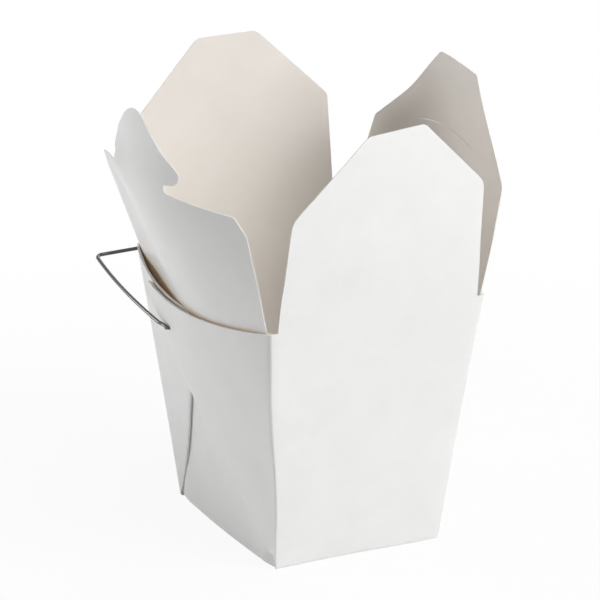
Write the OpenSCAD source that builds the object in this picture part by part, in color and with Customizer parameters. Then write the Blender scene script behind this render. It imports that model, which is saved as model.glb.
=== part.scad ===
// Takeout food pail: one creased sheet with folded corner ears, four closing flaps and a wire bail.
// Millimetres. X runs along the front wall, Y to the back, Z up, origin at the middle of the floor.

/* [Pail walls] */
// height of the walls, floor to fold
wall_height = 106; // [60:1:160]
// front wall width at the floor
front_bottom = 72.6; // [40:0.1:120]
// front wall width at the fold
front_top = 93.6; // [50:0.1:150]
// end wall width at the floor
depth_bottom = 83.6; // [40:0.1:140]
// end wall width at the fold
depth_top = 116.6; // [50:0.1:170]
// thickness of the board
paper = 0.45; // [0.3:0.05:0.8]
// how far the end walls belly outward at the fold
end_bow = 11.5; // [4:0.5:14]

/* [Corner ears] */
// the back ears stand this far off the end wall at the rim
ear_stand = 0.1; // [0.1:0.1:3]
// the front ears belly this much further out than the back ears
ear_step = 2.4; // [2.2:0.1:3]
// dip of the ear rim at its middle
ear_dip = 5; // [2:0.5:14]
// front ear reaches this far past the middle
front_tip = 31; // [24:0.5:40]
// back ear reaches this far past the middle
back_tip = 10.5; // [5:0.5:25]
// corner radius of the ear tips
tip_round = 6; // [2:0.5:10]
// space between folded layers
fold_gap = 0.1; // [0.05:0.05:0.3]

/* [Front and back flaps] */
// flap width at the fold
flap_base = 86.8; // [50:0.1:140]
// flap width at the shoulders
flap_shoulder = 85.8; // [50:0.1:140]
// height of the shoulders
flap_shoulder_height = 48.8; // [20:0.1:80]
// width of the flat top
flap_top = 26; // [10:0.5:60]
// height of the flaps
flap_height = 78.7; // [40:0.1:100]
// length of the rounding at the shoulders
flap_round = 4; // [1:0.5:10]
// length of the rounding at the top corners
flap_corner = 3; // [1:0.5:8]
// outward lean of the front flap as it stands open
front_lean = 9.4; // [5:0.1:20]
// twist of the front flap, side to middle
front_twist = -4; // [-5:0.1:5]
// outward lean of the back flap as it stands open
back_lean = 8.4; // [5:0.1:20]
// twist of the back flap, side to middle
back_twist = -1.8; // [-5:0.1:5]

/* [Tongue flap] */
// flap width at the fold
tongue_base = 110.4; // [60:0.1:160]
// flap width at the shoulders
tongue_shoulder = 108.3; // [60:0.1:160]
// height where the shoulders start to slope
tongue_shoulder_height = 39.4; // [20:0.1:60]
// width of the top edge
tongue_wing = 101.2; // [60:0.1:150]
// height of the top edge at its ends
tongue_wing_height = 47.3; // [25:0.1:70]
// width between the locking notches
tongue_neck = 47.2; // [20:0.1:80]
// height of the notch floor
notch_low = 52.6; // [30:0.1:75]
// height of the hooks over the notches
notch_high = 56.5; // [35:0.1:80]
// width across the two hooks
tongue_hooks = 63.6; // [30:0.1:90]
// length of the rounding in the notches
notch_round = 0.8; // [0.4:0.1:1.5]
// length of the rounding under the hooks
hook_round = 3; // [1:0.5:6]
// height of the tongue tip
tongue_height = 78; // [50:0.1:100]
// outward lean as it stands open
tongue_lean = 12.7; // [8:0.1:16]
// twist, side to middle
tongue_twist = 4.8; // [-6:0.1:6]
// how the belly grows above the fold
tongue_belly = 12; // [4:0.5:16]
// belly shifted to the front
tongue_skew = 7; // [0:0.5:9]

/* [Slot flap] */
// flap width at the fold
slot_base = 112.6; // [60:0.1:160]
// flap width at the shoulders
slot_shoulder = 105; // [60:0.1:160]
// height of the shoulders
slot_shoulder_height = 41.9; // [20:0.1:60]
// width of the flat top
slot_top = 39.8; // [15:0.1:80]
// height of the flap
slot_height = 75.6; // [45:0.1:100]
// outward lean as it stands open
slot_lean = 14.9; // [8:0.1:20]
// twist, side to middle
slot_twist = 1.6; // [-4:0.1:4]
// how the belly flattens towards the top
slot_flatten = 13.3; // [0:0.1:16]
// belly shifted to the back
slot_skew = 5; // [0:0.5:8]
// length of the rounding at the shoulders
slot_round = 3; // [1:0.5:8]
// length of the rounding at the top corners
slot_corner = 2; // [1:0.5:6]
// length of the curved locking slit
slit_length = 52; // [20:0.5:80]
// height of the slit
slit_height = 49.6; // [30:0.1:65]
// radius of the slit curve
slit_radius = 150; // [60:1:300]
// width of the slit
slit_width = 0.6; // [0.4:0.1:1.5]

/* [Wire handle] */
// wire diameter
wire = 1.5; // [1:0.1:2]
// wire hole, distance behind the middle
hole_y = 10.5; // [4:0.5:16]
// wire hole, height over the floor
hole_z = 87.4; // [82:0.2:94]
// running clearance of the wire in its holes
hole_play = 0.06; // [0.02:0.01:0.1]
// reach of the bail from its holes to the grip
bail_reach = 66; // [50:0.5:90]
// outward bow of each arm
arm_bow = 1.7; // [1:0.1:6]
// inside corner at the ends of the grip
grip_bend = 3; // [2:0.5:8]
// bend where the wire turns into the ears
hook_bend = 1.5; // [1.2:0.1:3]
// swing of the bail from upright to the back, as it rests
bail_rest = 81.6; // [60:0.1:110]

/* [Hidden] */
$fn = 64;
ear_pack = 2 * (paper + fold_gap);
back_bulge = end_bow + ear_stand;
front_bulge = back_bulge + ear_step;
ear_curve = 1.2;
wall_curve = 2;
wall_rows = 6;
wall_columns = 14;
ear_rows = 6;
ear_columns = 12;
ear_foot = 0.03;
wall_clear = 0.35;
flap_clear = 0.2;
floor_inset = 0.2;
wall_lap = 0.05;
fold_strip = 1.5;
pin_reach = 0.8;
pin_play = 0.15;
bend_lap = 0.1;
flap_columns = 16;
belly_height = 50;
side_lean = atan((depth_top - depth_bottom) / 2 / wall_height);
side_slant = sqrt(pow(wall_height, 2) + pow((depth_top - depth_bottom) / 2, 2));
pin_x = ear_x(hole_y, hole_z, front_bulge) + ear_pack;
pin_in = ear_x(hole_y, hole_z, back_bulge) - pin_reach;
hook_x = pin_x + pin_play;

// Half sizes of the tapering pail at a height
function half_x(z) = (front_bottom + (front_top - front_bottom) * z / wall_height) / 2;
function half_y(z) = (depth_bottom + (depth_top - depth_bottom) * z / wall_height) / 2;
function across(y, z) = 1 - pow(y / half_y(z), 2);
// Outer faces of the end wall and of the space the ears start from
function wall_x(y, z) = half_x(z) - ear_pack + end_bow * pow(z / wall_height, wall_curve) * across(y, z);
function ear_x(y, z, bulge) = half_x(z) - ear_pack + bulge * pow(z / wall_height, ear_curve) * across(y, z);

// Closed solid from two matching point grids, outer first, counter-clockwise seen from outside
module slab(outer, inner) {
  rows = len(outer);
  cols = len(outer[0]);
  half = rows * cols;
  points = concat([for (r = outer) each r], [for (r = inner) each r]);
  faces = concat(
    [for (i = [0:rows - 2], j = [0:cols - 2]) each [
      [i * cols + j, (i + 1) * cols + j, i * cols + j + 1],
      [i * cols + j + 1, (i + 1) * cols + j, (i + 1) * cols + j + 1],
      [half + i * cols + j, half + i * cols + j + 1, half + (i + 1) * cols + j],
      [half + i * cols + j + 1, half + (i + 1) * cols + j + 1, half + (i + 1) * cols + j]]],
    [for (j = [0:cols - 2], i = [0, rows - 1]) let (a = i * cols + j, b = a + 1)
      i == 0 ? [a, b, half + b, half + a] : [b, a, half + a, half + b]],
    [for (i = [0:rows - 2], j = [0, cols - 1]) let (a = i * cols + j, b = a + cols)
      j == 0 ? [b, a, half + a, half + b] : [a, b, half + b, half + a]]);
  polyhedron(points, faces, convexity = 6);
}

// Bellied end wall on the +X side
module end_wall() {
  heights = [for (i = [0:wall_rows]) (wall_height - wall_clear) * i / wall_rows];
  grid = [for (z = heights) [for (j = [0:wall_columns])
    let (y = (half_y(z) - paper / 2) * (2 * j / wall_columns - 1)) [wall_x(y, z), y, z]]];
  slab(grid, [for (r = grid) [for (p = r) p - [paper, 0, 0]]]);
}

// Ear rim height at the fold of one ray, with the tip corner rounded off
function rim_z(y, tip) = wall_height - ear_dip * across(y, wall_height) - tip_drop(max(0, y - tip + tip_round));
function tip_drop(over) = tip_round - sqrt(max(0, pow(tip_round, 2) - pow(over, 2)));

// Point of an ear on one ray from the floor corner to the rim
function ear_point(f, y, tip, bulge, out) =
  let (
    foot = -(depth_bottom - paper) / 2,
    deep = foot + f * (y - foot),
    high = f * rim_z(y, tip))
  [ear_x(deep, high, bulge) + out, deep, high];

// Sheet between the rays of an ear, its outer face standing off by out
module ear_sheet(rays, tip, bulge, out, thick) {
  steps = [for (i = [0:ear_rows]) ear_foot + (1 - ear_foot) * i / ear_rows];
  grid = [for (f = steps) [for (y = rays) ear_point(f, y, tip, bulge, out)]];
  slab(grid, [for (r = grid) [for (p = r) p - [thick, 0, 0]]]);
}

// Corner web folded on its diagonal: outer layer, inner layer and the fold that joins them
module ear(tip, bulge) {
  start = -(depth_top - paper) / 2;
  rays = [for (j = [0:ear_columns]) start + (tip - start) * j / ear_columns];
  ear_sheet(rays, tip, bulge, ear_pack, paper);
  ear_sheet(rays, tip, bulge, fold_gap + paper, paper);
  ear_sheet([tip - fold_strip, tip - fold_strip / 8], tip, bulge, ear_pack - paper / 2, paper + fold_gap);
}

// One end of the pail: wall, back ear, front ear over it, and the wire hole
module pail_end() {
  difference() {
    union() {
      end_wall();
      ear(front_tip, front_bulge);
      mirror([0, 1, 0]) ear(back_tip, back_bulge);
    }
    translate([pin_in, hole_y, hole_z])
      rotate([0, 90, 0])
        cylinder(h = pin_x - pin_in + 2 * wire, r = wire / 2 + hole_play);
  }
}

// Flat front wall, its outer face on the tapering side
module front_wall() {
  translate([0, -depth_bottom / 2, 0])
    rotate([90 + side_lean, 0, 0])
      translate([0, 0, -paper])
        linear_extrude(paper)
          polygon([
            [-front_bottom / 2 - wall_lap, 0],
            [front_bottom / 2 + wall_lap, 0],
            [front_top / 2 + wall_lap, side_slant - wall_clear],
            [-front_top / 2 - wall_lap, side_slant - wall_clear]]);
}

module pail_body() {
  color("white") union() {
    translate([-front_bottom / 2 + ear_pack + floor_inset, -depth_bottom / 2 + floor_inset, 0])
      cube([front_bottom - 2 * (ear_pack + floor_inset), depth_bottom - 2 * floor_inset, paper]);
    front_wall();
    rotate([0, 0, 180]) front_wall();
    pail_end();
    mirror([1, 0, 0]) pail_end();
  }
}

// A flap standing up from its fold: rows are [height, half width], half is the half length of the fold
module flap_sheet(rows, half, lean, twist, bow) {
  face = [for (r = rows) [for (j = [0:flap_columns])
    let (u = r[1] * (2 * j / flap_columns - 1)) flap_point(u, r[0], half, lean, twist, bow, 0)]];
  back = [for (r = rows) [for (j = [0:flap_columns])
    let (u = r[1] * (2 * j / flap_columns - 1)) flap_point(u, r[0], half, lean, twist, bow, -paper)]];
  slab(face, back);
}
// bow is [at the fold, first, second and third power of height, skew]
function flap_point(u, v, half, lean, twist, bow, depth) =
  let (
    s = u / half,
    t = v / belly_height,
    a = lean + twist * s,
    fold = bow[0] * (1 - s * s),
    w = (bow[1] * t + bow[2] * t * t + bow[3] * t * t * t + bow[4] * t * s) * (1 - s * s) + depth + paper / 2)
  [u, -(fold + v * sin(a) + w * cos(a)), v * cos(a) - w * sin(a)];

// Chamfered flap of the front and back walls, hinged on the X axis, outside facing -Y
module wall_flap(lean, twist) {
  shoulder = flap_shoulder_height;
  rows = [
    [flap_clear, flap_base / 2],
    [shoulder / 2, (flap_base + flap_shoulder) / 4],
    [shoulder - flap_round, flap_shoulder / 2],
    [shoulder, flap_shoulder / 2 - flap_round * 0.3],
    [flap_height - flap_corner, flap_top / 2 + flap_corner],
    [flap_height - flap_corner / 3, flap_top / 2 + flap_corner / 5],
    [flap_height, flap_top / 2 - flap_corner / 2]];
  flap_sheet(rows, front_top / 2, lean, twist, [0, 0, 0, 0, 0]);
}

module front_flap() {
  color("white")
    translate([0, -(depth_top - paper) / 2, wall_height])
      wall_flap(front_lean, front_twist);
}

module back_flap() {
  color("white")
    translate([0, (depth_top - paper) / 2, wall_height])
      rotate([0, 0, 180])
        wall_flap(back_lean, -back_twist);
}

// Flap of the left end wall, with a hooked tongue over two notches
module tongue_flap() {
  hook = tongue_hooks / 2;
  neck = tongue_neck / 2;
  rise = tongue_height - notch_high;
  rows = [
    [flap_clear, tongue_base / 2],
    [tongue_shoulder_height / 4, tongue_base * 0.3 + tongue_shoulder * 0.2],
    [tongue_shoulder_height / 2, (tongue_base + tongue_shoulder) / 4],
    [tongue_shoulder_height * 3 / 4, tongue_shoulder / 2],
    [tongue_shoulder_height, tongue_shoulder / 2 - notch_round * 0.4],
    [tongue_wing_height, tongue_wing / 2],
    [notch_low, neck + notch_round],
    [notch_low + notch_round, neck],
    [notch_high - notch_round / 2, neck + notch_round / 4],
    [notch_high + notch_round / 4, hook - hook_round],
    [notch_high + rise * 0.1, hook - hook_round / 5],
    [notch_high + rise * 0.22, hook],
    [notch_high + rise * 0.34, hook * 0.93],
    [notch_high + rise * 0.75, hook * 0.5],
    [notch_high + rise * 0.88, hook * 0.35],
    [notch_high + rise * 0.96, hook * 0.2],
    [tongue_height, hook * 0.06]];
  color("white")
    translate([-front_top / 2 + ear_pack + paper / 2, 0, wall_height])
      rotate([0, 0, -90])
        flap_sheet(rows, depth_top / 2, tongue_lean, -tongue_twist,
          [end_bow, 0.375 * tongue_belly, 1.033 * tongue_belly, -0.883 * tongue_belly, tongue_skew]);
}

// Flap of the right end wall, with the curved slit the tongue locks into
module slot_flap() {
  rows = [
    [flap_clear, slot_base / 2],
    [slot_shoulder_height / 3, slot_base * 0.37 + slot_shoulder * 0.13],
    [slot_shoulder_height * 2 / 3, slot_base * 0.1 + slot_shoulder * 0.4],
    [slot_shoulder_height - slot_round, slot_shoulder / 2],
    [slot_shoulder_height, slot_shoulder / 2 - slot_round / 3],
    [(slot_shoulder_height + slot_height) / 2, (slot_shoulder + slot_top) / 4],
    [slot_height - slot_corner, slot_top / 2 + slot_corner * 0.75],
    [slot_height, slot_top / 2 - slot_corner / 2]];
  arc = slit_length / slit_radius * 90 / PI;
  color("white")
    translate([front_top / 2 - ear_pack - paper / 2, 0, wall_height])
      rotate([0, 0, 90])
        difference() {
          flap_sheet(rows, depth_top / 2, slot_lean, slot_twist,
            [end_bow, 0.19 * slot_flatten, -slot_flatten, 0.39 * slot_flatten, slot_skew]);
          rotate([slot_lean, 0, 0])
            translate([0, 0, slit_height + end_bow * sin(slot_lean) - slit_radius])
              rotate([90, 0, 0])
                rotate([0, 0, 90 - arc])
                  rotate_extrude(angle = 2 * arc)
                    translate([slit_radius, -slot_height / 4])
                      square([slit_width, slot_height]);
        }
}

// Half of the bail in its own plane: X across, Y away from the holes
module bail_half() {
  chord = bail_reach - hook_bend - grip_bend;
  arm_radius = (pow(chord / 2, 2) + pow(arm_bow, 2)) / 2 / arm_bow;
  turn = asin(chord / 2 / arm_radius);
  arm_start = [hook_x + hook_bend * cos(turn), hook_bend * (1 - sin(turn))];
  grip_x = arm_start[0] - grip_bend * cos(turn);
  grip_y = arm_start[1] + chord - grip_bend * sin(turn);
  translate([pin_in, 0, 0])
    rotate([0, 90, 0])
      cylinder(h = hook_x - pin_in, d = wire);
  translate([hook_x, hook_bend, 0])
    bend(hook_bend, -90, -turn);
  translate([arm_start[0] - arm_radius * cos(turn), arm_start[1] + chord / 2, 0])
    rotate([0, 0, -turn])
      rotate_extrude(angle = 2 * turn, $fn = 720)
        translate([arm_radius, 0])
          circle(d = wire, $fn = 24);
  translate([grip_x, grip_y, 0])
    bend(grip_bend, turn, 90);
}

// Straight grip between the two corner bends
module grip() {
  chord = bail_reach - hook_bend - grip_bend;
  arm_radius = (pow(chord / 2, 2) + pow(arm_bow, 2)) / 2 / arm_bow;
  turn = asin(chord / 2 / arm_radius);
  half = hook_x + (hook_bend - grip_bend) * cos(turn);
  away = hook_bend * (1 - sin(turn)) + chord + grip_bend * (1 - sin(turn));
  translate([-half, away, 0])
    rotate([0, 90, 0])
      cylinder(h = 2 * half, d = wire);
}

// Wire bend that runs a little into the straight pieces at both ends
module bend(radius, from, to) {
  lap = bend_lap / radius * 180 / PI;
  rotate([0, 0, from - lap])
    rotate_extrude(angle = to - from + 2 * lap, $fn = 96)
      translate([radius, 0])
        circle(d = wire - bend_lap / 5, $fn = 24);
}

module wire_handle() {
  color("silver")
    translate([0, hole_y, hole_z])
      rotate([90 - bail_rest, 0, 0]) {
        bail_half();
        mirror([1, 0, 0]) bail_half();
        grip();
      }
}

pail_body();
front_flap();
back_flap();
tongue_flap();
slot_flap();
wire_handle();
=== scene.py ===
import math

import bmesh
import bpy
import numpy as np
from mathutils import Matrix, Vector


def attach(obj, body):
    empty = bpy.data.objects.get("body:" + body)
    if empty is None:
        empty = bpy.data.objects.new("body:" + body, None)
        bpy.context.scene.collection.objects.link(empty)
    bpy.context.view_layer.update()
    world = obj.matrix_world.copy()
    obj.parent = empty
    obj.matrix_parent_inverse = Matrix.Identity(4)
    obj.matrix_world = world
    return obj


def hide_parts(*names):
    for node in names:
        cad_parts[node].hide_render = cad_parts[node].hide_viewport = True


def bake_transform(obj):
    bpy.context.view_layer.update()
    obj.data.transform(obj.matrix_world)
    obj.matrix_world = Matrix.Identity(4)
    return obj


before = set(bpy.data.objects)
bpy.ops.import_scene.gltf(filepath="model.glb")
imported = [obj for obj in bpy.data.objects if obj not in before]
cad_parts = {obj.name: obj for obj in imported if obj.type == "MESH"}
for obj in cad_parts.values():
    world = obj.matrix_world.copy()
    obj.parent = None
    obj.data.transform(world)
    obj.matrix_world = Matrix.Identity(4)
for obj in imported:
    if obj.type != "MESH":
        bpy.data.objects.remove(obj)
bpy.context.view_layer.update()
scene = bpy.context.scene
scene.view_settings.view_transform = "Standard"
print("frame loaded", len(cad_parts), "nodes")

# everything below is in millimetres until a mesh is made
mm = 0.001


# seen from the left front, a little above
cameraSetup = {
    "lens": 226.8,
    "place": (-657.9, -1237.4, 620.0),
    "yaw": -27.88,
    "pitch": 20.62,
    "sensor": 36,
    "clip": (0.1, 20),
}


def makeCamera(s):
    yaw, pitch = math.radians(s["yaw"]), math.radians(s["pitch"])
    right = Vector((math.cos(yaw), math.sin(yaw), 0))
    flat = math.cos(pitch)
    back = Vector((math.sin(yaw) * flat, -math.cos(yaw) * flat, math.sin(pitch)))
    up = back.cross(right)
    data = bpy.data.cameras.new("camera")
    data.lens, data.sensor_width = s["lens"], s["sensor"]
    data.clip_start, data.clip_end = s["clip"]
    cam = bpy.data.objects.new("camera", data)
    scene.collection.objects.link(cam)
    turn = Matrix((right, up, back)).transposed().to_4x4()
    cam.matrix_world = Matrix.Translation(Vector(s["place"]) * mm) @ turn
    scene.camera = cam


makeCamera(cameraSetup)
print("camera placed")


def nodeMaterial(name):
    mat = bpy.data.materials.new(name)
    mat.use_nodes = True
    nodes, links = mat.node_tree.nodes, mat.node_tree.links
    nodes.clear()
    out = nodes.new("ShaderNodeOutputMaterial")
    shader = nodes.new("ShaderNodeBsdfPrincipled")
    links.new(shader.outputs[0], out.inputs[0])
    return mat, nodes, links, shader


def noiseNode(nodes, links, coords, scale, detail, rough=0.5):
    n = nodes.new("ShaderNodeTexNoise")
    n.inputs["Scale"].default_value = scale
    n.inputs["Detail"].default_value = detail
    n.inputs["Roughness"].default_value = rough
    links.new(coords, n.inputs["Vector"])
    return n.outputs["Fac"]


# colour pair is the lightest and darkest tone of the sheet
boardFinish = {
    "outside": {"light": (0.885, 0.881, 0.875), "dark": (0.855, 0.851, 0.844),
                "fold": (0.96, 0.82, 0.65),  # painted shade inside the folds, brownish to stand in for the shade and bounce light there
                "rough": 0.42, "cloud": 60, "fibre": 900, "bump": 0.10},
    "inside": {"light": (0.880, 0.842, 0.795), "dark": (0.850, 0.808, 0.755),
               "rough": 0.55, "cloud": 45, "fibre": 1100, "bump": 0.14},
    "edge": {"light": (0.920, 0.905, 0.885), "dark": (0.860, 0.835, 0.800),
             "rough": 0.80, "cloud": 300, "fibre": 2500, "bump": 0.30},
}
boardGrain = {
    "cloudDetail": 5, "cloudRough": 0.6, "band": (0.3, 0.7),
    "fibreDetail": 4, "fibreRough": 0.65, "depth": 0.0002, "gloss": 0.3,
}


def boardMaterial(name, s):
    mat, nodes, links, shader = nodeMaterial(name)
    coords = nodes.new("ShaderNodeTexCoord").outputs["Object"]
    grain = boardGrain
    cloud = noiseNode(nodes, links, coords, s["cloud"], grain["cloudDetail"], grain["cloudRough"])
    ramp = nodes.new("ShaderNodeValToRGB")
    dark, light = ramp.color_ramp.elements
    dark.position, light.position = grain["band"]
    dark.color, light.color = (*s["dark"], 1), (*s["light"], 1)
    links.new(cloud, ramp.inputs[0])
    tone = ramp.outputs[0]
    # painted shade: where the mask is set, the tone gives way to the brownish fold colour, standing in for the
    # shade and bounce light deep in the folds
    if "fold" in s:
        inFold = nodes.new("ShaderNodeAttribute")
        inFold.attribute_name = "foldWarmth"
        mix = nodes.new("ShaderNodeMix")
        mix.data_type = "RGBA"
        links.new(inFold.outputs["Fac"], mix.inputs[0])
        links.new(tone, mix.inputs[6])
        mix.inputs[7].default_value = (*s["fold"], 1)
        tone = mix.outputs[2]
    links.new(tone, shader.inputs["Base Color"])
    fibre = noiseNode(nodes, links, coords, s["fibre"], grain["fibreDetail"], grain["fibreRough"])
    bump = nodes.new("ShaderNodeBump")
    bump.inputs["Strength"].default_value = s["bump"]
    bump.inputs["Distance"].default_value = grain["depth"]
    links.new(fibre, bump.inputs["Height"])
    links.new(bump.outputs[0], shader.inputs["Normal"])
    shader.inputs["Roughness"].default_value = s["rough"]
    shader.inputs["Specular IOR Level"].default_value = grain["gloss"]
    return mat


board = [
    boardMaterial("coatedBoardOutside", boardFinish["outside"]),
    boardMaterial("plainBoardInside", boardFinish["inside"]),
    boardMaterial("rawBoardEdge", boardFinish["edge"]),
]

# painted dark reflection: the base colour is far darker than bright drawn steel, standing in for the dark
# surroundings the wire mirrors
steelFinishAndShade = {
    "colour": (0.12, 0.118, 0.115), "rough": (0.16, 0.25),
    "scratch": 900, "detail": 3, "bump": 0.02, "depth": 0.0001,
}


def steelMaterial(s):
    mat, nodes, links, shader = nodeMaterial("drawnSteelWire")
    coords = nodes.new("ShaderNodeTexCoord").outputs["Object"]
    drawn = noiseNode(nodes, links, coords, s["scratch"], s["detail"])
    rough = nodes.new("ShaderNodeMapRange")
    rough.inputs["To Min"].default_value, rough.inputs["To Max"].default_value = s["rough"]
    links.new(drawn, rough.inputs["Value"])
    links.new(rough.outputs[0], shader.inputs["Roughness"])
    bump = nodes.new("ShaderNodeBump")
    bump.inputs["Strength"].default_value = s["bump"]
    bump.inputs["Distance"].default_value = s["depth"]
    links.new(drawn, bump.inputs["Height"])
    links.new(bump.outputs[0], shader.inputs["Normal"])
    shader.inputs["Base Color"].default_value = (*s["colour"], 1)
    shader.inputs["Metallic"].default_value = 1
    return mat


steel = steelMaterial(steelFinishAndShade)
print("materials made")


weldReach, sliver = 0.000004, 0.000002  # metres


# face and back are matching points, quads join the face points; cut edges get their own strip
def boardMesh(name, face, back, quads, warm=None):
    count = len(face)
    used = {}
    for q in quads:
        for a, b in zip(q, q[1:] + q[:1]):
            used[(a, b)] = used.get((a, b), 0) + 1
    rim = [(b, a, a + count, b + count) for a, b in used if (b, a) not in used]
    faces = list(quads) + [tuple(i + count for i in reversed(q)) for q in quads] + rim
    mesh = bpy.data.meshes.new(name)
    points = np.vstack([face, back]) * mm
    mesh.from_pydata(points.tolist(), [], [list(q) for q in faces])
    layer = [0] * len(quads) + [1] * len(quads) + [2] * len(rim)
    attribute = mesh.attributes.new("boardSide", "INT", "FACE")
    attribute.data.foreach_set("value", layer)
    mesh.polygons.foreach_set("material_index", layer)
    mesh.polygons.foreach_set("use_smooth", [k < 2 for k in layer])
    for m in board:
        mesh.materials.append(m)
    # painted fold shade: the mask goes on the face points only, none on the back
    if warm is not None:
        tint = mesh.attributes.new("foldWarmth", "FLOAT", "POINT")
        tint.data.foreach_set("value", np.append(warm, np.zeros(count)))
    bm = bmesh.new()
    bm.from_mesh(mesh)
    bmesh.ops.remove_doubles(bm, verts=bm.verts, dist=weldReach)
    bmesh.ops.dissolve_degenerate(bm, edges=bm.edges, dist=sliver)
    for e in bm.edges:
        e.smooth = len({f.material_index for f in e.link_faces}) < 2
    bm.to_mesh(mesh)
    bm.free()
    mesh.update()
    obj = bpy.data.objects.new(name, mesh)
    scene.collection.objects.link(obj)
    return obj


def gridQuads(rows, cols, closed=False):
    quads = []
    for i in range(rows - 1):
        for j in range(cols if closed else cols - 1):
            k = (j + 1) % cols
            quads.append((i * cols + j, i * cols + k, (i + 1) * cols + k, (i + 1) * cols + j))
    return quads


def easing(x, low, high):
    t = np.clip((x - low) / (high - low), 0, 1)
    return t * t * (3 - 2 * t)


# sizes of the pail: walls, folded corner ears and floor in one wrapped sheet
pail = {
    "height": 106.0,
    "frontBottom": 72.6, "frontTop": 93.6,
    "depthBottom": 83.6, "depthTop": 116.6,
    "board": 0.45, "foldGap": 0.1,
    "cornerFold": 0.9, "floorFold": 0.8, "frontLean": 8.85,
    "wallBow": 11.5, "wallCurve": 2.0, "wallParts": (68.0, 86.0), "lopsided": 3,
    "settleHeight": 25.0, "settleReach": 8.0,  # where the end wall moves out to the floor corners
    "earDip": 5.0, "earCurve": 1.2, "tipRound": 6.0, "earStart": 0.02, "foldCore": 0.05, "foldEase": 20,
    "frontEar": {"tip": 31.0, "bulge": 14.0},
    "backEar": {"tip": 10.5, "bulge": 11.6},
    # heights over which the painted fold shade fades in, and where it stops around the ear rim
    "warmFrom": (62.0, 96.0), "warmRim": (-1.0, 2.0),
    "rollFrom": (30.0, 36.0), "floorLift": 0.25,
    "lowRows": (0.0, 0.06, 0.22, 0.48, 0.8, 1.4, 2.2),
    "rows": 44, "wallColumns": 36, "earColumns": 30, "floorCells": 24,
}
pack = 2 * (pail["board"] + pail["foldGap"])


# sizes of the four flaps; outline is (height, half width, corner), from the fold up
frontFlap = {
    "name": "frontFlap", "node": "front_flap", "body": "front",
    "outline": [(0.0, 43.4), (24.4, 43.15), (48.8, 42.9, 3.2), (77.9, 13.8, 0.8), (78.7, 11.8)],
    "bend": {"Half Fold": 46.8, "Fold Lean": 8.85, "Fold Reach": 26.0, "Lean": 9.4, "Twist": -4.0, "Turn": 0.0,
             "Hinge": (0, -58.075, 106), "Wave": 0.5, "Wave Scale": 22.0, "Curl End": 1.0},
    "foldZone": ((0, -58.075, 106), (0, -58.6, 109)),
}
backFlap = {
    "name": "backFlap", "node": "back_flap", "body": "back",
    "outline": [(0.0, 43.4), (24.4, 43.15), (48.8, 42.9, 1.6), (77.9, 13.8, 0.8), (78.7, 11.8)],
    "bend": {"Half Fold": 46.8, "Fold Lean": 8.85, "Fold Reach": 26.0, "Lean": 8.4, "Twist": 1.8, "Turn": 180.0,
             "Hinge": (0, 58.075, 106), "Wave": 0.5, "Wave Scale": 22.0, "Curl End": 1.0},
    "foldZone": ((0, 58.075, 106), (0, 58.6, 109)),
}
tongueFlap = {
    "name": "tongueFlap", "node": "tongue_flap", "body": "tongue",
    "outline": [(0.0, 55.2), (9.85, 54.9), (19.7, 54.68), (29.55, 54.15), (39.4, 53.85, 1.5), (47.3, 50.6, 0.8),
                (52.6, 24.4, 0.6), (53.4, 23.6), (56.1, 23.8, 0.4), (56.7, 28.8, 1.0), (58.65, 31.2),
                (61.2, 31.8), (63.8, 29.8, 2.0), (72.1, 17.8), (75.4, 11.9, 2.0), (77.2, 6.6, 1.5), (78.0, 1.9)],
    "bend": {"Half Fold": 58.3, "Fold Lean": 14.0, "Fold Reach": 1.0, "Lean": 14.0, "Twist": -6.2, "Turn": -90.0,
             "Hinge": (-45.475, 0, 106), "Fold Bow": 11.5, "Fold Skew": 0.8, "Fold Pinch": 0.6,
             "Belly": 4.5, "Belly Fall": 10.4, "Belly Tip": -9.2, "Skew": 4.4,
             "Curl": 3.4, "Curl Start": 49.0, "Curl End": 62.0, "Wave": 0.4, "Wave Scale": 20.0},
    "dents": [{"at": (-68.6, 24.0, 155.0), "reach": (20.0, 15.0, 9.0), "push": (-3.0, 0.0, 0.0)}],
    "foldZone": ((-47, 0, 106), (-47, 0, 111)),
}
slotFlap = {
    "name": "slotFlap", "node": "slot_flap", "body": "slot",
    "outline": [(0.0, 56.3), (13.97, 55.3), (27.93, 53.3), (41.9, 52.5, 1.0), (74.8, 20.7, 0.8), (75.6, 18.9)],
    "slit": {"height": 48.4, "length": 52.0, "radius": 150.0, "width": 0.16, "lip": 0.05,
             "snub": 3, "reach": 9.0, "fade": 15.0, "level": 30.0},
    "bend": {"Half Fold": 58.3, "Fold Lean": 14.9, "Fold Reach": 1.0, "Lean": 14.9, "Twist": 1.6, "Turn": 90.0,
             "Hinge": (45.475, 0, 106), "Fold Bow": 11.5, "Belly": 2.5, "Belly Fall": -13.3, "Belly Tip": 5.2,
             "Skew": 6.3, "Curl": -0.8, "Curl Start": -5.0, "Curl End": 40.0, "Wave": 0.5, "Wave Scale": 20.0},
    "dents": [{"at": (66.0, 39.0, 161.0), "reach": (20.0, 12.0, 10.0), "push": (1.4, 0.0, 0.0)}],
    "foldZone": ((47, 0, 106), (47, 0, 111)),
}


def halfX(z):
    return (pail["frontBottom"] + (pail["frontTop"] - pail["frontBottom"]) * z / pail["height"]) / 2


def halfY(z):
    return (pail["depthBottom"] + (pail["depthTop"] - pail["depthBottom"]) * z / pail["height"]) / 2


def across(y, z):
    return 1 - (y / halfY(z)) ** 2


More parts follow.
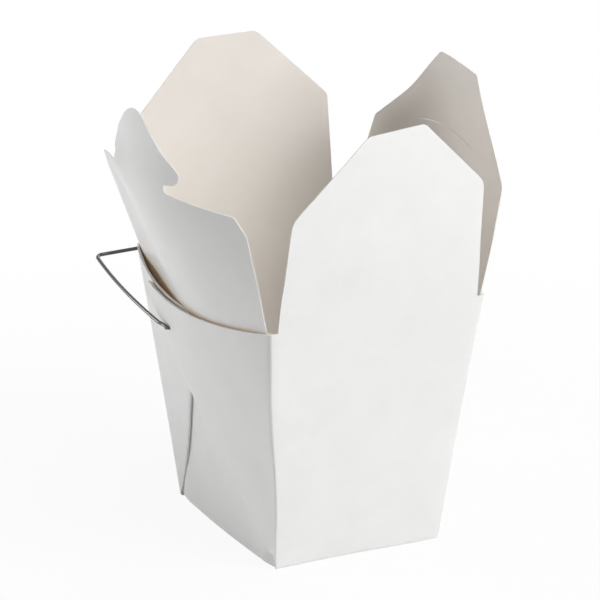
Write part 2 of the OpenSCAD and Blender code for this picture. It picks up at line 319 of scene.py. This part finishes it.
# the end wall reaches the floor corners, lies against the ears where it shows and parts from them above
def wallX(y, z, flap):
    settle = max(0.0, 1 - z / pail["settleHeight"])
    spread = pack * settle * min(1.0, (halfY(z) - abs(y)) / pail["settleReach"])
    rise = z / pail["height"]
    away = easing(z, *pail["wallParts"])
    bow = rise ** pail["earCurve"] * (1 - away) + rise ** pail["wallCurve"] * away
    share = 1 + (bowShare(y / halfY(z), flap) - 1) * rise ** pail["lopsided"]
    return halfX(z) - pack + spread + pail["wallBow"] * bow * across(y, z) * share


def bowShare(s, flap):
    s = -s if flap["Turn"] < 0 else s
    return 1 + (1 - s * s) * (flap.get("Fold Skew", 0) * s - flap.get("Fold Pinch", 0) * s * s)


def earX(y, z, bulge):
    return halfX(z) - pack + bulge * (z / pail["height"]) ** pail["earCurve"] * across(y, z)


def earPoint(f, rim, ear, out, over=0.0):
    foot = -(pail["depthBottom"] - pail["board"]) / 2
    past = max(0.0, rim - ear["tip"] + pail["tipRound"])
    drop = pail["tipRound"] - math.sqrt(max(0.0, pail["tipRound"] ** 2 - past ** 2))
    high = f * (pail["height"] - pail["earDip"] * across(rim, pail["height"]) - drop)
    deep = foot + f * (rim - foot)
    return np.array((earX(deep, high, ear["bulge"]) + out, deep + over * min(1, pail["foldEase"] * f), high))


# one ear as outer layer, diagonal fold and inner layer, from its corner out and back again
def earPath(f, ear):
    start = -(pail["depthTop"] - pail["board"]) / 2
    n, first = pail["earColumns"], pail["earStart"]
    rims = [start + (ear["tip"] - start) * (first + (1 - first) * j / n) for j in range(n + 1)]
    thick, gap, core = pail["board"], pail["foldGap"], pail["foldCore"]
    mid, bend = pack / 2 + gap / 2, pack / 2 - gap / 2
    face = [earPoint(f, r, ear, pack) for r in rims]
    back = [earPoint(f, r, ear, pack - thick) for r in rims]
    for turn in (45, 90, 135):
        a = math.radians(turn)
        face.append(earPoint(f, ear["tip"], ear, mid + bend * math.cos(a), bend * math.sin(a)))
        back.append(earPoint(f, ear["tip"], ear, mid + core * math.cos(a), core * math.sin(a)))
    face += [earPoint(f, r, ear, gap) for r in reversed(rims)]
    back += [earPoint(f, r, ear, gap + thick) for r in reversed(rims)]
    return face, back


def curveThrough(a, b, c, steps=(0.25, 0.5, 0.75)):
    return [(1 - t) ** 2 * a + 2 * t * (1 - t) * b + t * t * c for t in steps]


# the wall's last row is the flap's first, so the sheet runs on through the crease
def creaseRow(points, lean, depth):
    off = depth + pail["board"] / 2
    for p, a in zip(points, lean):
        p[2] = pail["height"] - off * math.sin(math.radians(a))
        p[:2] += off * math.cos(math.radians(a)) * p[3:]
    return [p[:3] for p in points]


def frontCrease(x, depth):
    hinge = (pail["depthTop"] - pail["board"]) / 2
    return creaseRow([np.array((v, -hinge, 0, 0, -1.0)) for v in x], [pail["frontLean"]] * len(x), depth)


def endCrease(ys, flap, depth):
    hinge = pail["frontTop"] / 2 - pack - pail["board"] / 2
    half = pail["depthTop"] / 2
    side = -1 if flap["Turn"] < 0 else 1
    bows = [flap["Fold Bow"] * (1 - (y / half) ** 2) * bowShare(y / half, flap) for y in ys]
    rows = [np.array((hinge + bow, y, 0, 1.0, 0)) for bow, y in zip(bows, ys)]
    return creaseRow(rows, [flap["Lean"] + flap["Twist"] * side * y / half for y in ys], depth)


# right half of one level, from the middle of the front wall round to the middle of the back wall
def halfLoop(f, flap):
    z, thick, fold = f * pail["height"], pail["board"], pail["cornerFold"]
    hx, hy, n = halfX(z), halfY(z), pail["wallColumns"]

    def wallAndEar(ear):
        x = np.linspace(0, hx - fold, n // 2 + 1)
        face = [np.array((v, -hy, z)) for v in x]
        back = [np.array((v, -hy + thick, z)) for v in x]
        if f == 1:
            face, back = frontCrease(x, 0.0), frontCrease(x, -thick)
        earFace, earBack = earPath(f, ear)
        corner = np.array((hx, -hy, z))
        inside = np.array((hx - thick, -hy + thick, z))
        face += curveThrough(face[-1], corner, earFace[0])
        back += curveThrough(back[-1], inside, earBack[0])
        outer, inner = len(face) + pail["earColumns"] + 2, pail["earColumns"] + 2
        # where the painted fold shade may fall: not on the front wall, corner and outer ear layer, half at the
        # ear fold, fully on the inner ear layer
        within = [0.0] * outer + [0.5] + [1.0] * inner
        return face + earFace, back + earBack, within

    frontFace, frontBack, frontFoldShade = wallAndEar(pail["frontEar"])
    backFace, backBack, backFoldShade = wallAndEar(pail["backEar"])
    flip = np.array((1, -1, 1))
    ys = np.linspace(-(hy - thick / 2), hy - thick / 2, n + 1)
    endFace = [np.array((wallX(y, z, flap), y, z)) for y in ys]
    endBack = [p - np.array((thick, 0, 0)) for p in endFace]
    if f == 1:
        endFace, endBack = endCrease(ys, flap, 0.0), endCrease(ys, flap, -thick)
    face = frontFace + endFace + [p * flip for p in reversed(backFace)]
    back = frontBack + endBack + [p * flip for p in reversed(backBack)]
    # painted shade in the gap behind the ears: the end wall and the inner ear layers take the fold colour in a
    # band that fades in with height and stops just above the ear rim
    warm = np.array(frontFoldShade + [1.0] * (n + 1) + backFoldShade[::-1])
    face = np.array(face)
    rim = pail["height"] - pail["earDip"] * across(face[:, 1], pail["height"])
    below, above = pail["warmRim"]
    warm *= easing(face[:, 2], *pail["warmFrom"]) * (1 - easing(face[:, 2], rim + below, rim + above))
    return face, np.array(back), warm


# the sheet rolls under at the floor fold
def rollUnder(points, fold):
    z = points[:, 2]
    low = np.clip(fold - z, 0, fold)
    pull = fold - np.sqrt(np.maximum(fold * fold - low * low, 0))
    out = points.copy()
    for axis, start in enumerate(pail["rollFrom"]):
        out[:, axis] -= np.sign(points[:, axis]) * pull * (np.abs(points[:, axis]) > start)
    return out


# what use has done to the sheet: a pinched near edge, small dents by the floor, a crumpled near corner
handling = {
    "pinch": {"at": (-37.0, -46.0, 30.0), "reach": (9.0, 9.0, 24.0), "push": (1.1, 0.3, 0.0)},
    "dents": [
        {"at": (36.0, -43.0, 0.0), "reach": (34.0, 30.0, 42.0), "push": (-1.2, -3.2, 0.0)},
        {"at": (-36.0, 2.0, 0.0), "reach": (12.0, 34.0, 22.0), "push": (-1.2, 0.0, 0.0)},
        {"at": (-44.0, -54.0, 74.0), "reach": (9.0, 9.0, 20.0), "push": (-0.7, -0.2, 0.0)},
        {"at": (-18.0, -43.0, 9.0), "reach": (10.0, 8.0, 7.0), "push": (0.0, 0.35, 0.0)},
        {"at": (14.0, -43.0, 7.0), "reach": (12.0, 8.0, 5.0), "push": (0.0, 0.3, 0.0)},
        {"at": (-36.0, -39.2, 4.6), "reach": (4.0, 1.5, 1.7), "push": (1.7, 0.3, 0.0)},
        {"at": (-36.0, -40.6, 1.4), "reach": (4.0, 0.9, 1.6), "push": (0.9, 0.2, 0.0)},
    ],
}


def press(points, spot):
    away = (points - np.array(spot["at"])) / np.array(spot["reach"])
    return points + np.exp(-(away ** 2).sum(1))[:, None] * np.array(spot["push"])


def makePail():
    fold, n = pail["floorFold"], pail["rows"]
    low = [z / pail["height"] for z in pail["lowRows"]]
    levels = low + [low[-1] + (1 - low[-1]) * i / n for i in range(1, n + 1)]
    faces, backs, foldShadeRows = [], [], []
    mirrorX = np.array((-1, 1, 1))
    for f in levels:
        face, back, warm = halfLoop(f, slotFlap["bend"])
        leftFace, leftBack, leftFoldShade = halfLoop(f, tongueFlap["bend"])
        face = np.vstack([face, (leftFace[::-1] * mirrorX)[1:-1]])
        back = np.vstack([back, (leftBack[::-1] * mirrorX)[1:-1]])
        foldShadeRows.append(np.append(warm, leftFoldShade[::-1][1:-1]))
        faces.append(rollUnder(face, fold))
        backs.append(rollUnder(back, fold))
    cols = len(faces[0])
    face, back = np.vstack(faces), np.vstack(backs)
    for spot in [handling["pinch"], *handling["dents"]]:
        face, back = press(face, spot), press(back, spot)
    return boardMesh("pailWalls", face, back, gridQuads(len(levels), cols, True), np.concatenate(foldShadeRows))


def makeFloor():
    inset, n = pail["floorFold"], pail["floorCells"]
    hx = pail["frontBottom"] / 2 - pack - inset
    hy = pail["depthBottom"] / 2 - inset
    face, back = [], []
    for y in np.linspace(hy, -hy, n + 1):
        for x in np.linspace(-hx, hx, n + 1):
            lift = pail["floorLift"] * (1 - (x / hx) ** 2) * (1 - (y / hy) ** 2)
            face.append((x, y, lift))
            back.append((x, y, lift + pail["board"]))
    return boardMesh("pailFloor", np.array(face), np.array(back), gridQuads(n + 1, n + 1))


pailWalls = makePail()
pailFloor = makeFloor()
for piece in (pailWalls, pailFloor):
    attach(piece, "body")
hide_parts("pail_body")
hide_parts("pail_body")
print("pail folded", len(pailWalls.data.polygons), "faces")


bellyHeight = 0.05  # the belly values hold at this height of a flap, in metres
curlWidth, curlPower = 1.9, 1.5


# flaps start as flat die cut plates and are all bent by this node tree
def bendTree():
    tree = bpy.data.node_groups.new("bendFlap", "GeometryNodeTree")
    face = tree.interface
    face.new_socket("Geometry", in_out="INPUT", socket_type="NodeSocketGeometry")
    face.new_socket("Geometry", in_out="OUTPUT", socket_type="NodeSocketGeometry")
    names = ["Half Fold", "Board", "Fold Lean", "Fold Reach", "Lean", "Twist",
             "Fold Bow", "Fold Skew", "Fold Pinch", "Belly", "Belly Fall", "Belly Tip", "Skew",
             "Curl", "Curl Start", "Curl End", "Wave", "Wave Scale", "Turn"]
    for n in names:
        face.new_socket(n, in_out="INPUT", socket_type="NodeSocketFloat")
    face.new_socket("Hinge", in_out="INPUT", socket_type="NodeSocketVector")
    for n in ("Face", "Back", "Edge"):
        face.new_socket(n, in_out="INPUT", socket_type="NodeSocketMaterial")
    nodes, links = tree.nodes, tree.links
    given = nodes.new("NodeGroupInput").outputs
    result = nodes.new("NodeGroupOutput")

    def calc(op, *values):
        n = nodes.new("ShaderNodeMath")
        n.operation = op
        for slot, v in zip(n.inputs, values):
            if isinstance(v, (int, float)):
                slot.default_value = v
            else:
                links.new(v, slot)
        return n.outputs[0]

    flat = nodes.new("GeometryNodeInputPosition").outputs[0]
    split = nodes.new("ShaderNodeSeparateXYZ")
    links.new(flat, split.inputs[0])
    u, v, depth = split.outputs
    s = calc("DIVIDE", u, given["Half Fold"])
    t = calc("DIVIDE", v, bellyHeight)
    grow = nodes.new("ShaderNodeMapRange")
    grow.interpolation_type = "SMOOTHSTEP"
    links.new(v, grow.inputs["Value"])
    grow.inputs["From Min"].default_value = -0.001
    links.new(given["Fold Reach"], grow.inputs["From Max"])
    full = calc("MULTIPLY_ADD", given["Twist"], s, given["Lean"])
    lean = calc("MULTIPLY_ADD", calc("SUBTRACT", full, given["Fold Lean"]), grow.outputs[0], given["Fold Lean"])
    lean = calc("RADIANS", lean)
    swell = calc("SUBTRACT", 1.0, calc("MULTIPLY", s, s))
    share = calc("MULTIPLY", given["Fold Pinch"], calc("MULTIPLY", s, s))
    share = calc("SUBTRACT", calc("MULTIPLY", given["Fold Skew"], s), share)
    share = calc("MULTIPLY_ADD", share, swell, 1.0)
    fold = calc("MULTIPLY", calc("MULTIPLY", given["Fold Bow"], swell), share)
    belly = calc("MULTIPLY_ADD", given["Belly Tip"], t, given["Belly Fall"])
    belly = calc("MULTIPLY", t, calc("MULTIPLY_ADD", belly, t, given["Belly"]))
    belly = calc("ADD", belly, calc("MULTIPLY", given["Skew"], calc("MULTIPLY", t, s)))
    belly = calc("MULTIPLY", belly, swell)
    # the side on the left of the flap rolls inward above the curl start
    rise = nodes.new("ShaderNodeMapRange")
    rise.interpolation_type = "SMOOTHSTEP"
    links.new(v, rise.inputs["Value"])
    links.new(given["Curl Start"], rise.inputs["From Min"])
    links.new(given["Curl End"], rise.inputs["From Max"])
    side = calc("POWER", calc("MAXIMUM", calc("MULTIPLY", s, -curlWidth), 0.0), curlPower)
    curl = calc("MULTIPLY", given["Curl"], calc("MULTIPLY", rise.outputs[0], side))
    # slow unevenness of the board, none at the fold
    noise = nodes.new("ShaderNodeTexNoise")
    flatOnly = nodes.new("ShaderNodeCombineXYZ")
    links.new(u, flatOnly.inputs[0])
    links.new(v, flatOnly.inputs[1])
    links.new(given["Half Fold"], flatOnly.inputs[2])
    links.new(flatOnly.outputs[0], noise.inputs["Vector"])
    links.new(given["Wave Scale"], noise.inputs["Scale"])
    noise.inputs["Detail"].default_value = 1.0
    wave = calc("MULTIPLY", calc("SUBTRACT", noise.outputs["Fac"], 0.5), given["Wave"])
    wave = calc("MULTIPLY", wave, calc("MINIMUM", t, 1.0))
    off = calc("ADD", calc("ADD", belly, depth), calc("MULTIPLY", given["Board"], 0.5))
    off = calc("ADD", calc("SUBTRACT", off, curl), wave)
    sinA, cosA = calc("SINE", lean), calc("COSINE", lean)
    out = calc("ADD", fold, calc("MULTIPLY_ADD", off, cosA, calc("MULTIPLY", v, sinA)))
    up = calc("SUBTRACT", calc("MULTIPLY", v, cosA), calc("MULTIPLY", off, sinA))
    local = nodes.new("ShaderNodeCombineXYZ")
    links.new(u, local.inputs[0])
    links.new(calc("MULTIPLY", out, -1.0), local.inputs[1])
    links.new(up, local.inputs[2])
    spin = nodes.new("ShaderNodeVectorRotate")
    spin.rotation_type = "Z_AXIS"
    links.new(local.outputs[0], spin.inputs["Vector"])
    links.new(calc("RADIANS", given["Turn"]), spin.inputs["Angle"])
    place = nodes.new("ShaderNodeVectorMath")
    place.operation = "ADD"
    links.new(spin.outputs[0], place.inputs[0])
    links.new(given["Hinge"], place.inputs[1])
    bend = nodes.new("GeometryNodeSetPosition")
    links.new(given["Geometry"], bend.inputs["Geometry"])
    links.new(place.outputs[0], bend.inputs["Position"])
    realize = nodes.new("GeometryNodeRealizeInstances")
    links.new(bend.outputs[0], realize.inputs[0])
    last = realize.outputs[0]
    side = nodes.new("GeometryNodeInputNamedAttribute")
    side.data_type = "INT"
    side.inputs["Name"].default_value = "boardSide"
    for k, n in enumerate(("Face", "Back", "Edge")):
        pick = nodes.new("FunctionNodeCompare")
        pick.data_type, pick.operation = "INT", "EQUAL"
        ints = [i for i in pick.inputs if i.type == "INT"]
        links.new(side.outputs[0], ints[0])
        ints[1].default_value = k
        paint = nodes.new("GeometryNodeSetMaterial")
        links.new(last, paint.inputs["Geometry"])
        links.new(pick.outputs[0], paint.inputs["Selection"])
        links.new(given[n], paint.inputs["Material"])
        last = paint.outputs[0]
    links.new(last, result.inputs[0])
    return tree


def runTree(obj, tree, values):
    mod = obj.modifiers.new(tree.name, "NODES")
    mod.node_group = tree
    ids = {i.name: i.identifier for i in tree.interface.items_tree if i.in_out == "INPUT"}
    for name, value in values.items():
        mod[ids[name]] = value
    graph = bpy.context.evaluated_depsgraph_get()
    made = bpy.data.meshes.new_from_object(obj.evaluated_get(graph))
    obj.modifiers.remove(mod)
    made.name = obj.name
    obj.data = made
    return obj


# levels close enough together for the bends
def fillLevels(outline, step):
    levels = []
    for (v0, w0), (v1, w1) in zip(outline, outline[1:]):
        n = max(1, math.ceil(max(v1 - v0, abs(w1 - w0) / 4) / step))
        levels += [(v0 + (v1 - v0) * i / n, w0 + (w1 - w0) * i / n) for i in range(n)]
    return levels + [outline[-1]]


def roundedOutline(corners, steps=5):
    line = [corners[0][:2]]
    for before, here, after in zip(corners, corners[1:], corners[2:]):
        p, c, q = (np.array(k[:2], float) for k in (before, here, after))
        r = here[2] if len(here) > 2 else 0
        if not r:
            line.append(tuple(c))
            continue
        a = c + (p - c) / np.linalg.norm(p - c) * min(r, 0.45 * np.linalg.norm(p - c))
        b = c + (q - c) / np.linalg.norm(q - c) * min(r, 0.45 * np.linalg.norm(q - c))
        line += [tuple((1 - t) ** 2 * a + 2 * t * (1 - t) * c + t * t * b) for t in np.linspace(0, 1, steps)]
    return line + [corners[-1][:2]]


plateGrid = {"columns": 48, "step": 1.6}


def flapPlate(name, outline, slit):
    columns = plateGrid["columns"]
    levels = fillLevels(roundedOutline(outline), plateGrid["step"])
    rows = len(levels)
    points = np.array([[(w * (2 * j / columns - 1), v, 0.0) for j in range(columns + 1)] for v, w in levels])
    quads = gridQuads(rows, columns + 1)
    face = points.reshape(-1, 3)
    if slit:
        face, quads = cutSlit(points, quads, slit)
    return boardMesh(name, face, face - np.array((0, 0, pail["board"])), quads)


# the level nearest the slit is drawn onto its arc, then opened along it
def cutSlit(points, quads, slit):
    cols, half = points.shape[1], slit["length"] / 2
    row = int(np.argmin(np.abs(points[:, 0, 1] - slit["height"])))
    base = points[row, 0, 1]
    reach = np.clip(1 - np.abs(points[:, :1, 1] - base) / slit["reach"], 0, 1)
    x = np.abs(points[:, :, 0])
    drop = np.sqrt(slit["radius"] ** 2 - np.minimum(x, slit["level"]) ** 2) - slit["radius"]
    arc = slit["height"] - base + drop
    points[:, :, 1] += arc * reach * (1 - easing(x, half, half + slit["fade"]))
    face = points.reshape(-1, 3)
    extra, copies = {}, []
    for j in range(cols):
        if x[row, j] >= half:
            continue
        i = row * cols + j
        extra[i] = len(face) + len(copies)
        gape = min(1.0, slit["snub"] * (1 - (x[row, j] / half) ** 2))
        copies.append(face[i] + np.array((0, slit["width"] * gape, slit["lip"] * gape)))
    face = np.vstack([face, copies])
    cut = []
    for q in quads:
        above = min(q) // cols >= row
        cut.append(tuple(extra.get(i, i) for i in q) if above else q)
    return face, cut


asWritten = ("Lean", "Fold Lean", "Twist", "Turn", "Wave Scale", "Fold Skew", "Fold Pinch")  # not lengths


def flapPiece(s, tree):
    obj = flapPlate(s["name"], s["outline"], s.get("slit"))
    given = {"Board": pail["board"] * mm, "Face": board[0], "Back": board[1], "Edge": board[2]}
    for label, value in s["bend"].items():
        if label == "Hinge":
            given[label] = tuple(c * mm for c in value)
        else:
            given[label] = value if label in asWritten else value * mm
    runTree(obj, tree, given)
    points = np.array([p.co for p in obj.data.vertices]) / mm
    for spot in s.get("dents", []):
        points = press(points, spot)
    obj.data.vertices.foreach_set("co", (points * mm).ravel())
    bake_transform(obj)
    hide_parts(s["node"])
    print("flap bent", s["name"], len(obj.data.polygons), "faces")


bendRule = bendTree()
for flap in (frontFlap, backFlap, tongueFlap, slotFlap):
    flapPiece(flap, bendRule)


# sizes of the wire bail, a path swept by a node tree
bail = {
    "diameter": 1.5, "sides": 20,
    "holeY": 10.5, "holeZ": 87.4, "reach": 66.0, "rest": 81.6,
    "armBow": 1.7, "gripBend": 3.0, "hookBend": 1.5, "pinReach": 0.8, "pinPlay": 0.15,
    "kink": {"depth": 0.7, "starts": (0.2, 1.4), "ends": (2.5, 6.0)},
    "hookSteps": 9, "armSteps": 60, "gripSteps": 10,
}


def sweepTree():
    tree = bpy.data.node_groups.new("sweepWire", "GeometryNodeTree")
    face = tree.interface
    face.new_socket("Geometry", in_out="INPUT", socket_type="NodeSocketGeometry")
    face.new_socket("Geometry", in_out="OUTPUT", socket_type="NodeSocketGeometry")
    face.new_socket("Wire Radius", in_out="INPUT", socket_type="NodeSocketFloat")
    face.new_socket("Sides", in_out="INPUT", socket_type="NodeSocketInt")
    face.new_socket("Metal", in_out="INPUT", socket_type="NodeSocketMaterial")
    nodes, links = tree.nodes, tree.links
    given = nodes.new("NodeGroupInput").outputs
    result = nodes.new("NodeGroupOutput")
    path = nodes.new("GeometryNodeMeshToCurve")
    links.new(given["Geometry"], path.inputs["Mesh"])
    ring = nodes.new("GeometryNodeCurvePrimitiveCircle")
    links.new(given["Sides"], ring.inputs["Resolution"])
    links.new(given["Wire Radius"], ring.inputs["Radius"])
    sweep = nodes.new("GeometryNodeCurveToMesh")
    sweep.inputs["Fill Caps"].default_value = True
    links.new(path.outputs[0], sweep.inputs["Curve"])
    links.new(ring.outputs[0], sweep.inputs["Profile Curve"])
    smooth = nodes.new("GeometryNodeSetShadeSmooth")
    links.new(sweep.outputs[0], smooth.inputs["Geometry"])
    realize = nodes.new("GeometryNodeRealizeInstances")
    links.new(smooth.outputs[0], realize.inputs[0])
    paint = nodes.new("GeometryNodeSetMaterial")
    links.new(realize.outputs[0], paint.inputs["Geometry"])
    links.new(given["Metal"], paint.inputs["Material"])
    links.new(paint.outputs[0], result.inputs[0])
    return tree


def arcPoints(centre, radius, start, end, n):
    return [(centre[0] + radius * math.cos(math.radians(a)), centre[1] + radius * math.sin(math.radians(a)))
            for a in np.linspace(start, end, n)]


# half of the bail in its own plane: across, and away from the holes
def bailHalf(s):
    front, rear = pail["frontEar"]["bulge"], pail["backEar"]["bulge"]
    pinX = earX(s["holeY"], s["holeZ"], front) + pack + s["pinPlay"]
    pinIn = earX(s["holeY"], s["holeZ"], rear) - s["pinReach"]
    chord = s["reach"] - s["hookBend"] - s["gripBend"]
    radius = ((chord / 2) ** 2 + s["armBow"] ** 2) / 2 / s["armBow"]
    turn = math.degrees(math.asin(chord / 2 / radius))
    cosT, sinT = math.cos(math.radians(turn)), math.sin(math.radians(turn))
    hook = (pinX, s["hookBend"])
    armStart = (pinX + s["hookBend"] * cosT, s["hookBend"] * (1 - sinT))
    arm = (armStart[0] - radius * cosT, armStart[1] + chord / 2)
    grip = (armStart[0] - s["gripBend"] * cosT, armStart[1] + chord - s["gripBend"] * sinT)
    line = [(pinIn, 0.0), ((pinIn + pinX) / 2, 0.0)]
    line += arcPoints(hook, s["hookBend"], -90, -turn, s["hookSteps"])
    line += arcPoints(arm, radius, -turn, turn, s["armSteps"])[1:]
    line += arcPoints(grip, s["gripBend"], turn, 90, s["gripSteps"])[1:]
    # the wire hugs the ear before it kinks out into the arm
    kink = s["kink"]
    pull = [easing(y, *kink["starts"]) * (1 - easing(y, *kink["ends"])) for x, y in line]
    return [(x - kink["depth"] * k, y) for (x, y), k in zip(line, pull)]


def makeBail(s):
    half = bailHalf(s)
    line = [(-x, y) for x, y in half] + [(x, y) for x, y in reversed(half)]
    lift = math.radians(90 - s["rest"])
    line = [(x, s["holeY"] + y * math.cos(lift), s["holeZ"] + y * math.sin(lift)) for x, y in line]
    points = [tuple(c * mm for c in p) for p in line]
    mesh = bpy.data.meshes.new("wireBail")
    mesh.from_pydata(points, [(i, i + 1) for i in range(len(points) - 1)], [])
    obj = bpy.data.objects.new("wireBail", mesh)
    scene.collection.objects.link(obj)
    radius = s["diameter"] / 2 * mm
    runTree(obj, sweepTree(), {"Wire Radius": radius, "Sides": s["sides"], "Metal": steel})
    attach(obj, "bail")
    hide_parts("wire_handle")
    print("wire bent", len(obj.data.polygons), "faces")


makeBail(bail)


studio = {
    "floorSize": 6.0, "floorTone": (0.86, 0.86, 0.86), "floorWhite": 0.92, "fade": (0.08, 0.40),
    "worldLight": 0.0, "aim": (0, 0, 0.09),
    "lamps": [
        {"name": "frontRightLamp", "place": (1.23, -1.77, 1.0), "size": 1.2, "power": 21.0},
        {"name": "frontRightHighLamp", "place": (1.2, -1.6, 2.0), "size": 1.2, "power": 28.5},
        {"name": "frontLamp", "place": (0.3, -2.2, 0.9), "size": 1.2, "power": 6.5},
        {"name": "backLeftLamp", "place": (-1.85, 1.39, 0.62), "size": 1.2, "power": 25.5},
        {"name": "topLamp", "place": (0.2, -0.2, 2.3), "size": 1.2, "power": 15.0},
        {"name": "backRightLamp", "place": (1.7, 1.5, 1.0), "size": 1.2, "power": 10.0},
    ],
}


# rays that should meet plain white: straight to the camera, mirrored or seen through
def seenRays(nodes, links):
    rays = nodes.new("ShaderNodeLightPath").outputs
    last = rays["Is Camera Ray"]
    for kind in ("Is Glossy Ray", "Is Transmission Ray"):
        either = nodes.new("ShaderNodeMath")
        either.operation = "MAXIMUM"
        links.new(last, either.inputs[0])
        links.new(rays[kind], either.inputs[1])
        last = either.outputs[0]
    return last


def makeStudio(s):
    half = s["floorSize"] / 2
    mesh = bpy.data.meshes.new("studioFloor")
    corners = [(-half, -half, 0), (half, -half, 0), (half, half, 0), (-half, half, 0)]
    mesh.from_pydata(corners, [], [(0, 1, 2, 3)])
    floor = bpy.data.objects.new("studioFloor", mesh)
    scene.collection.objects.link(floor)
    mat = bpy.data.materials.new("studioFloor")
    mat.use_nodes = True
    nodes, links = mat.node_tree.nodes, mat.node_tree.links
    nodes.clear()
    out = nodes.new("ShaderNodeOutputMaterial")
    diffuse = nodes.new("ShaderNodeBsdfDiffuse")
    diffuse.inputs[0].default_value = (*s["floorTone"], 1)
    white = nodes.new("ShaderNodeEmission")
    mix = nodes.new("ShaderNodeMixShader")
    seen = seenRays(nodes, links)
    coords = nodes.new("ShaderNodeTexCoord")
    length = nodes.new("ShaderNodeVectorMath")
    length.operation = "LENGTH"
    links.new(coords.outputs["Object"], length.inputs[0])
    fade = nodes.new("ShaderNodeMapRange")
    fade.interpolation_type = "SMOOTHSTEP"
    fade.inputs["From Min"].default_value, fade.inputs["From Max"].default_value = s["fade"]
    fade.inputs["To Min"].default_value, fade.inputs["To Max"].default_value = s["floorWhite"], 1.0
    links.new(length.outputs["Value"], fade.inputs["Value"])
    share = nodes.new("ShaderNodeMath")
    share.operation = "MULTIPLY"
    links.new(seen, share.inputs[0])
    links.new(fade.outputs[0], share.inputs[1])
    links.new(share.outputs[0], mix.inputs[0])
    links.new(diffuse.outputs[0], mix.inputs[1])
    links.new(white.outputs[0], mix.inputs[2])
    links.new(mix.outputs[0], out.inputs[0])
    mesh.materials.append(mat)

    world = bpy.data.worlds.new("studioWorld")
    scene.world = world
    world.use_nodes = True
    nodes, links = world.node_tree.nodes, world.node_tree.links
    nodes.clear()
    out = nodes.new("ShaderNodeOutputWorld")
    sky = nodes.new("ShaderNodeBackground")
    seen = seenRays(nodes, links)
    level = nodes.new("ShaderNodeMapRange")
    level.inputs["To Min"].default_value, level.inputs["To Max"].default_value = s["worldLight"], 1.0
    links.new(seen, level.inputs["Value"])
    links.new(level.outputs[0], sky.inputs["Strength"])
    links.new(sky.outputs[0], out.inputs[0])

    for lamp in s["lamps"]:
        data = bpy.data.lights.new(lamp["name"], "AREA")
        data.size, data.energy = lamp["size"], lamp["power"]
        obj = bpy.data.objects.new(lamp["name"], data)
        scene.collection.objects.link(obj)
        obj.location = lamp["place"]
        aim = Vector(s["aim"]) - Vector(lamp["place"])
        obj.rotation_euler = aim.to_track_quat("-Z", "Y").to_euler()
        obj.visible_camera = False


makeStudio(studio)
print("studio lit")
